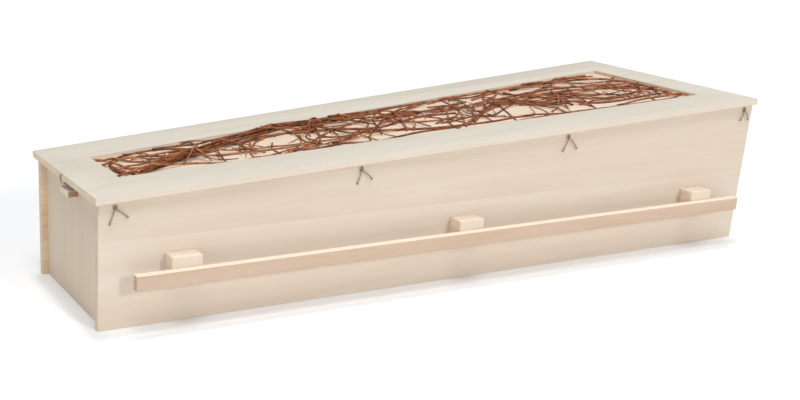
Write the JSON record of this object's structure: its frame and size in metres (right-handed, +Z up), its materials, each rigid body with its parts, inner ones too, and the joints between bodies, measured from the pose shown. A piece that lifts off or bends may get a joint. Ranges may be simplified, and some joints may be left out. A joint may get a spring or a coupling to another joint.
{
  "type": "coffin",
  "caption": "Plain pale wooden coffin that widens and rises towards the head, with carrying bars on blocks and a lift-off lid whose long window holds a willow mat.",
  "frame": {"origin": "on the floor, under the middle of the lid: the bottom centre of the coffin's bounding box", "axes": "+X along the coffin from the foot to the head, +Y to the left as seen from the foot, +Z up"},
  "size_m": [2.0324, 0.7602, 0.433],
  "materials": {
    "pale_wood": "matte",
    "lid_wood": "matte",
    "bar_wood": "matte",
    "willow": "satin",
    "hemp_cord": "matte"
  },
  "bodies": {
    "root": {"bar_block_left_foot": "pale_wood", "bar_block_left_head": "pale_wood", "bar_block_left_middle": "pale_wood", "bar_block_right_foot": "pale_wood", "bar_block_right_head": "pale_wood", "bar_block_right_middle": "pale_wood", "base_board": "pale_wood", "carrying_bar_left": "bar_wood", "carrying_bar_right": "bar_wood", "foot_cleat": "pale_wood", "foot_cord": "hemp_cord", "foot_panel": "pale_wood", "head_panel": "pale_wood", "lid_frame": "lid_wood", "lid_inner_panel": "pale_wood", "side_board_left": "pale_wood", "side_board_right": "pale_wood", "tie_left_1_foot_tail": "hemp_cord", "tie_left_1_head_tail": "hemp_cord", "tie_left_1_knot": "hemp_cord", "tie_left_2_foot_tail": "hemp_cord", "tie_left_2_head_tail": "hemp_cord", "tie_left_2_knot": "hemp_cord", "tie_left_3_foot_tail": "hemp_cord", "tie_left_3_head_tail": "hemp_cord", "tie_left_3_knot": "hemp_cord", "tie_left_4_foot_tail": "hemp_cord", "tie_left_4_head_tail": "hemp_cord", "tie_left_4_knot": "hemp_cord", "tie_right_1_foot_tail": "hemp_cord", "tie_right_1_head_tail": "hemp_cord", "tie_right_1_knot": "hemp_cord", "tie_right_2_foot_tail": "hemp_cord", "tie_right_2_head_tail": "hemp_cord", "tie_right_2_knot": "hemp_cord", "tie_right_3_foot_tail": "hemp_cord", "tie_right_3_head_tail": "hemp_cord", "tie_right_3_knot": "hemp_cord", "tie_right_4_foot_tail": "hemp_cord", "tie_right_4_head_tail": "hemp_cord", "tie_right_4_knot": "hemp_cord", "willow_mat": "willow"}
  },
  "joints": []
}
